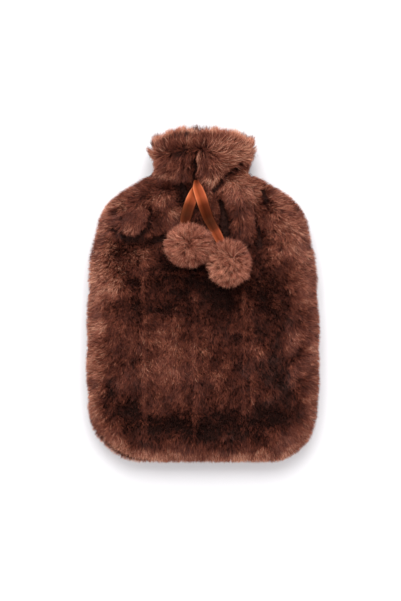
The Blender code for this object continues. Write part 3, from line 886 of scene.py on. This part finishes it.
# The shoulders' corners are rounder than the panel's, and the sides under them fuller
at_shoulders = np.exp(-(np.hypot(np.abs(roots[:, 0]) - 96, roots[:, 1] - 97) / 14) ** 2)
at_sides = np.exp(-((roots[:, 1] - 45) / 34) ** 4)
trimmed = 2.4 * at_shoulders - 1.4 * at_sides * (1 - at_shoulders)
strands = lay_strands(roots, normals, places, nap, to_seam, outwards, hidden + trimmed, STRAND_WIDE, 21)
end_at_folds(strands[0], strands[3])
press_under_ribbon(strands[0])
front_piles = grow_regions(
    "front_pile_", roots, strands,
    [("bottom", -300, -88), ("lower", -88, -5), ("middle", -5, 78), ("upper", 78, 300)],
)

# %% [markdown]
# The back lies on the table, so its pile is pressed flat and heads for the bottom edge. The same
# functions lay it, with fewer strands, and no strand goes lower than the table.

# %% Grow the back's pile
BACK_STRANDS = 58000
BACK_WIDE = 0.86
# Dark tones at the throat and in the collar's creases are painted shade, and the lighter middle, where the
# pile is pressed flat, is a painted sheen.
BACK_PATCHES = [Patch(*row) for row in (
    ("drawn in at the throat", 0, 117, 50, 5, -90, 30, 12),
    ("left crease of the collar", -26, 122, 5, 20, -80, 30, 12, 10),
    ("right crease of the collar", 20, 122, 5, 20, -100, 30, 12, -10),
    ("middle pressed flat, painted lighter", -8, -30, 50, 70, -80, 80, 46, 10),
    ("parted low on the left", -50, -120, 26, 12, -30, 80, 30, 25),
    ("parted on the right", 55, 30, 18, 36, -120, 80, 30, 15),
)]
roots, normals, places, back_across, back_along = scatter_roots(
    back_points, back_normals, BACK_STRANDS, 12
)


def back_nap(roots, to_seam, outwards):
    """The same for the back's pile."""
    x, y = roots[:, 0], roots[:, 1]
    near_seam, heading = combed_out(y, to_seam, outwards, 0.3)
    # Near the seam the tone is painted lighter, a painted sheen on the pile combed outwards, as on the
    # front.
    ground = 0.72 - 0.12 * near_seam, 0.38 + 0.4 * near_seam
    heading, lean, tone = blend_patches(BACK_PATCHES, x, y, heading, *ground)
    heading = heading + 0.6 * mottle(x, y, 19, 31) + 0.35 * mottle(x, y, 7, 32)
    tone = tone + 0.12 * mottle(x, y, 14, 34) + 0.08 * mottle(x, y, 5, 35)
    return heading, np.clip(lean, 0.05, 0.9), np.clip(tone, 0, 1), near_seam


to_seam, outwards = to_outline(back_outline, roots)
nap = back_nap(roots, to_seam, outwards)
strands = lay_strands(roots, normals, places, nap, to_seam, outwards, 0.0, BACK_WIDE, 41)
back_piles = grow_regions("back_pile_", roots, strands, [("lower", -300, -10), ("upper", -10, 300)])

# %% [markdown]
# The collar's cut edges carry the longest pile. It stands up past the edge and fans out, so it is
# grown from the edge of each cloth as a brush of its own.

# %% Brushes on the collar's edges
def rim_brush(name, node, points, normals, count, seed, low_tones, tip_tone, crest):
    """Strands along the upper edge of a cloth, standing up past it, by crest longer in its middle.

    The short ones have the tones below the edge, low_tones, on the left and on the right.
    """
    dice = np.random.default_rng(seed)
    at = dice.uniform(0, points.shape[1] - 1.001, count)
    column, share = at.astype(int), (at % 1)[:, None]
    line, facing = points[-1], normals[-2]
    roots = line[column] * (1 - share) + line[column + 1] * share
    outward = unit(facing[column] * (1 - share) + facing[column + 1] * share)
    short = dice.uniform(0, 1, count) < 0.5
    off_cloth = np.where(short, dice.uniform(0, 2.5, count), -dice.uniform(0, CLOTH_THICK, count))
    roots += outward * off_cloth[:, None]
    roots[:, 1] -= dice.uniform(0, 2.5, count)
    x, z = roots[:, 0], roots[:, 2]
    side = np.clip(x / 50, -1, 1)
    fan = np.stack([0.2 * side ** 3, np.ones(count), 0 * side], axis=1)
    fan += outward * (dice.uniform(-0.15, 0.35, count) + 0.2 * short)[:, None]
    tuft = [mottle(x, z, size, seed + step) for step, size in enumerate((5, 2.6, 2.2))]
    fan[:, 0] += 0.35 * tuft[0] + 0.25 * tuft[1]
    ways = unit(fan + dice.normal(0, 0.16, (count, 3)))
    length = np.where(short, dice.uniform(5, 10, count), dice.uniform(9, 16, count)) * (1 + 0.2 * tuft[2])
    length *= 1 + crest * np.exp(-((x + 2) / 16) ** 4) + 0.35 * np.abs(side) ** 7
    middle = roots + unit(ways + 0.25 * outward) * (0.45 * length)[:, None]
    spines = np.stack([roots, middle, middle + ways * (0.55 * length)[:, None]], axis=1)
    spines[:, :, 2] = np.maximum(spines[:, :, 2], 0.4)
    on_right = rise(x + 3, 8)
    tone = np.where(short, low_tones[0] * (1 - on_right) + low_tones[1] * on_right, tip_tone)
    tone = tone + 0.14 * mottle(x, z, 9, seed + 4) + 0.12 * tuft[2]
    tone = np.clip(tone + dice.normal(0, 0.12, count), 0, 1)
    sides = blade_sides(spines, outward, 0.5, dice)
    widths = STRAND_WIDE * dice.uniform(0.75, 1.2, count)
    piece = blade_mesh(name, spines, sides, widths, tone, cover_pile, "fur_fabric")
    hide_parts(node)
    return piece


front_brush = rim_brush(
    "front_collar_brush", "front_collar_edge", front_points, front_normals, 10000, 51,
    low_tones=(0.16, 0.5), tip_tone=0.82, crest=-0.1,
)
back_brush = rim_brush(
    "back_collar_brush", "back_collar_edge", back_points, back_normals, 8000, 52,
    low_tones=(0.2, 0.2), tip_tone=0.2, crest=0.28,
)

# %% [markdown]
# ## Pompoms
#
# A pompom is a ball of cut pile tied at its middle. Its strands stand out all round, and where it
# was tied they part and leave a dimple. A small core keeps the ball closed.

# %% Make the two pompoms
POMPOM_RADIUS = 24.8
POMPOM_BELOW = 19.5  # radius underneath, where it is pressed flat
POMPOM_CHEEK = 23.0  # and where the two press against each other
POMPOM_TUFTS = 700
POMPOM_STRANDS = 15000
CORE_RADIUS = 13.0  # of the closed ball inside
ROOT_RADIUS = 10.0  # the strands start inside the core


def pompom_ball(name, node, seed, over, shape, dimple, lighter, flat_way):
    """A core, and strands that lean away from the dimple, in the place of the node.

    The loose ball lies over millimetres to one side of the solid, is out of round, is painted lighter
    towards the way that lighter points, a painted highlight on its top and lit side, and is flat towards
    the other one.
    """
    dice = np.random.default_rng(seed)
    count = POMPOM_STRANDS
    _, low, high = measured(node)
    middle = (low + high) / 2
    centre = np.array([middle[0] + over[0], middle[1] + over[1], low[2] + POMPOM_BELOW])
    out = unit(dice.normal(0, 1, (count, 3)))
    axis = unit(np.array(dimple))
    away = unit(out - axis * (out @ axis)[:, None])
    towards = unit(dice.normal(0, 1, (POMPOM_TUFTS, 3)))
    nearest = np.argmax(out @ towards.T, axis=1)
    tuft_tone, tuft_long = dice.normal(0, 1, (2, POMPOM_TUFTS))[:, nearest]
    in_dimple = np.exp(-(np.arccos(np.clip(out @ axis, -1, 1)) / 0.34) ** 2)
    lean = 0.5 + 0.1 * in_dimple[:, None]
    swirl = 1.1 * mottle(*(POMPOM_RADIUS * out[:, :2].T), 13, seed)[:, None]
    away = away * np.cos(swirl) + np.cross(axis, away) * np.sin(swirl)
    way = unit(out * (1 - lean) + away * lean + 0.6 * (towards[nearest] - out))
    whim = 0.45 * dice.normal(0, 1, (POMPOM_TUFTS, 3))[nearest]
    way = unit(way + whim + dice.normal(0, 0.18, (count, 3)))
    roots = centre + out * ROOT_RADIUS
    reach = POMPOM_RADIUS - 9.6 + dice.uniform(-3.0, 1.0, count) + 0.4 * tuft_long - 1.5 * in_dimple
    start = unit(out + 0.3 * (towards[nearest] - out))
    middle = roots + start * 0.5 * reach[:, None]
    tip = middle + way * 0.55 * reach[:, None]
    tip[:, 2] = np.maximum(tip[:, 2], low[2] + dice.uniform(0, 1.5, count))
    stretch = np.array([*shape, 1.0])
    roots, middle, tip = (centre + (part - centre) * stretch for part in (roots, middle, tip))
    press = unit(np.array([*flat_way, 0.0]))
    past = np.maximum(0, (tip - centre) @ press - POMPOM_CHEEK)
    tip -= past[:, None] * press
    spines = np.stack([roots, middle, tip], axis=1)
    sides = blade_sides(spines, out, 0.5, dice)
    # Painted shade darkens the dimple, and painted light brightens the top and the side that lighter points
    # to.
    tone = 0.34 + 0.14 * tuft_tone - 0.12 * in_dimple + dice.normal(0, 0.24, count)
    tone = np.clip(tone + out @ np.array(lighter), 0.02, 0.98)
    widths = STRAND_WIDE * dice.uniform(0.6, 1.0, count)
    pile = blade_mesh(name, spines, sides, widths, tone, pompom_pile, "pompom_fur")

    place = Vector(centre) * MM
    bpy.ops.object.select_all(action="DESELECT")
    bpy.ops.mesh.primitive_ico_sphere_add(subdivisions=3, radius=CORE_RADIUS * MM, location=place)
    core = bpy.context.object
    # The core takes the pile's darkest tone at the roots' end: painted shade, as seen deep between the
    # strands.
    marks = core.data.uv_layers[0]
    marks.name = "OFBake"
    for corner in marks.data:
        corner.uv = (0.02 + 0.1 * corner.uv.x, 0.01 + 0.08 * corner.uv.y)
    core.data.materials.append(pompom_pile)
    pile.select_set(True)
    bpy.context.view_layer.objects.active = pile
    bpy.ops.object.join()
    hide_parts(node)


pompom_ball(
    "left_pompom_ball", "pompom_left", 61, over=(1.4, -1.8), shape=(1.08, 0.95),
    dimple=(-0.05, 0.12, 1), lighter=(-0.06, 0, 0.2), flat_way=(43, -18),
)
pompom_ball(
    "right_pompom_ball", "pompom_right", 62, over=(-2.2, -1.8), shape=(0.96, 1.03),
    dimple=(0.25, 0.35, 1), lighter=(-0.12, -0.16, 0.34), flat_way=(-43, 18),
)

# %% [markdown]
# ## Satin ribbon
#
# The ribbon is polyester satin, 12 mm wide. Its long floats lie along it and give a broad, soft
# gloss. A narrow grid is laid along the route, its middle raised a little above its edges, and
# it gets a wall as thin as satin.

# %% Satin finish
FLOATS = 0.45  # millimetres between the satin's ribs, coarser than the real 0.15 so that they show
RIBBON_WIDE = 12.0
# Painted light on the satin: across it a painted highlight near one edge with darker edges and middle;
# along it lighter stretches where its gloss catches the light and darker ones where it lies in shade, as at
# the fold under the flap.
SATIN_PAINTED_LIGHT_ACROSS = [
    (0.0, "#823e25"), (0.05, "#e28256"), (0.14, "#b95a37"), (0.42, "#823a1f"), (0.8, "#9a482e"),
    (0.95, "#c06642"), (1.0, "#652817"),
]
SATIN_PAINTED_LIGHT_ALONG = [
    (0.0, "#807672"), (0.11, "#66605e"), (0.15, "#787270"), (0.19, "#968e8c"), (0.25, "#ffffff"),
    (0.33, "#c8c2c0"), (0.42, "#786e6a"), (0.55, "#b0a8a4"), (0.61, "#ffffff"), (0.67, "#ffffff"),
    (0.72, "#988e8a"), (0.78, "#6a625f"), (0.84, "#5e5653"), (0.89, "#888280"), (0.92, "#d4cecc"),
]
satin, tree, shader = new_material(
    "rust_polyester_satin", {"Roughness": 0.42, "Specular IOR Level": 0.16, "Anisotropic": 0.5}
)
shader.inputs["Specular Tint"].default_value = linear("#dc9468")
marks = tint_by_map(tree, shader, SATIN_PAINTED_LIGHT_ACROSS, SATIN_PAINTED_LIGHT_ALONG)
floats = {"Scale": math.tau * RIBBON_WIDE / (20 * FLOATS), "Distortion": 0.6}
add_ribs(tree, shader, marks, "X", floats, {"Strength": 0.25, "Distance": 0.0001})
print("Satin with painted highlights")

# %% Lay the ribbon
RIBBON_CURL = 0.7  # millimetres that its middle stands above its edges
SATIN_THICK = 0.35
TURNS_AT = 114.0  # y where it is folded over


def ribbon_grid(line, columns):
    """Points of a strip along the route, rows along it by columns across it."""
    ways = unit(np.gradient(line[:, :3], axis=0))
    sideways = np.stack([ways[:, 1], -ways[:, 0], 0 * ways[:, 0]], axis=1)
    sideways *= np.sign(sideways[:, :1] + 1e-9)
    turning = np.exp(-((line[:, 1:2] - TURNS_AT) / 2.5) ** 2)
    sideways = unit(sideways * (1 - turning) + np.array([[1.0, 0, 0]]) * turning)
    up = np.cross(sideways, ways)
    off = np.linspace(-1, 1, columns + 1)
    wide = line[:, 3:]
    points = line[:, None, :3] + sideways[:, None] * (off * (wide - 0.4) / 2)[:, :, None]
    bunch = (RIBBON_WIDE - wide) / 8 * np.cos(off * 7)
    points[:, :, 2] += (RIBBON_CURL * (0.35 - off ** 2) + bunch) * np.abs(up[:, 2:])
    return points


ribbon, _ = laid_sheet(
    "satin_tie_ribbon", ribbon_grid(ribbon_line, 10), SATIN_THICK, 0,
    bpy.ops.mesh.normals_make_consistent,
)
ribbon.data.uv_layers[0].name = "OFBake"
ribbon.data.materials.append(satin)
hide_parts("tie_ribbon")

# %% [markdown]
# ## The panels give way to the cloths
#
# The cloths and their pile stand in for the measured panels, so the panels' solids are hidden.

for cloth, node, across, along, area, piles in (
    (front_cloth, "front_panel", front_across, front_along, front_area, front_piles + [front_brush]),
    (back_cloth, "back_panel", back_across, back_along, back_area, back_piles + [back_brush]),
):
    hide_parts(node)
